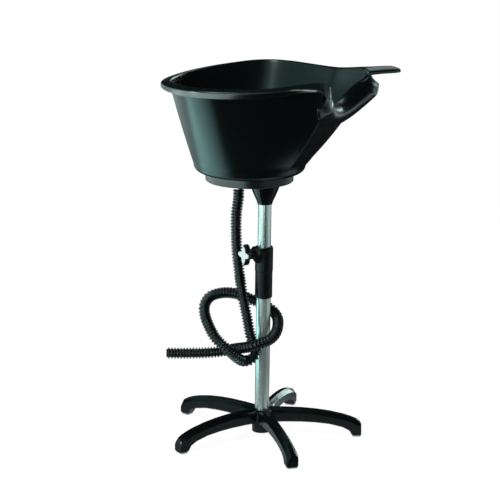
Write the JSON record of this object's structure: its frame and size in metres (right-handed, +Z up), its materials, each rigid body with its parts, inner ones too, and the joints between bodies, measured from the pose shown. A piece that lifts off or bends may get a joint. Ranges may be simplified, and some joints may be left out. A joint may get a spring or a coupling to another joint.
{
  "type": "portable shampoo basin",
  "caption": "Salon hair-washing basin on a stand: deep moulded bowl with a neck rest, telescopic tube mast with clamp knob, star base and ribbed drain hose.",
  "frame": {"origin": "on the floor under the middle of the object, the loose drain hose left out", "axes": "+Z up; +X to the picture's right; +Y away from its camera. The neck rest faces 24.4 degrees from +X towards -Y"},
  "size_m": [0.5616, 0.5712, 0.9006],
  "materials": {
    "black_plastic": "satin black moulding",
    "base_gloss": "glossy black moulding",
    "tube_chrome": "polished chrome plate",
    "hose_plastic": "black flexible plastic",
    "knob_face": "pale grey glossy cover",
    "glide": "pale grey pad",
    "nylon": "natural nylon",
    "seal": "matte black seal",
    "steel": "bright steel",
    "brass": "turned brass"
  },
  "bodies": {
    "stand": {"star_base": "base_gloss", "foot_glide_1": "glide", "foot_glide_2": "glide", "foot_glide_3": "glide", "foot_glide_4": "glide", "foot_glide_5": "glide", "lower_tube": "tube_chrome", "tube_foot_plug": "steel", "hub_bolt": "steel", "hub_washer": "steel", "clamp_sleeve": "black_plastic", "clamp_insert": "brass"},
    "clamp_pad": {"clamp_pad": "nylon"},
    "knob": {"clamp_knob": "black_plastic", "clamp_stud": "steel", "knob_cap": "knob_face"},
    "mast": {"upper_tube": "tube_chrome", "mast_end_plug": "black_plastic", "mast_cap": "black_plastic"},
    "basin": {"basin_bowl": "black_plastic", "basin_socket": "base_gloss", "socket_screw_1": "steel", "socket_screw_2": "steel", "socket_screw_3": "steel", "socket_screw_4": "steel", "drain_body": "steel", "drain_strainer": "steel", "drain_gasket": "seal", "drain_nut": "black_plastic", "hose_connector": "black_plastic", "hose_clip": "steel", "hose_clip_screw": "steel", "drain_hose": "hose_plastic"}
  },
  "joints": [
    {"name": "height_slide", "type": "slide", "parent": "stand", "child": "mast", "axis": [0, 0, 1], "range_m": [-0.095, 0.2], "deforming": ["drain_hose"]},
    {"name": "basin_swivel", "type": "hinge", "parent": "mast", "child": "basin", "pos_m": [-0.03698, 0.02188, 0.6333], "axis": [0, 0, 1], "range_deg": [-60, 60]},
    {"name": "pad_press", "type": "slide", "parent": "stand", "child": "clamp_pad", "axis": [-0.809, -0.5878, 0], "range_m": [0, 0.0026]},
    {"name": "knob_turn", "type": "hinge", "parent": "clamp_pad", "child": "knob", "pos_m": [-0.03698, 0.02188, 0.4608], "axis": [-0.809, -0.5878, 0], "range_deg": [0, 720]}
  ],
  "couplings": [
    {"joint": "pad_press", "follows": "knob_turn", "m_per_rad": 0.00019894}
  ]
}
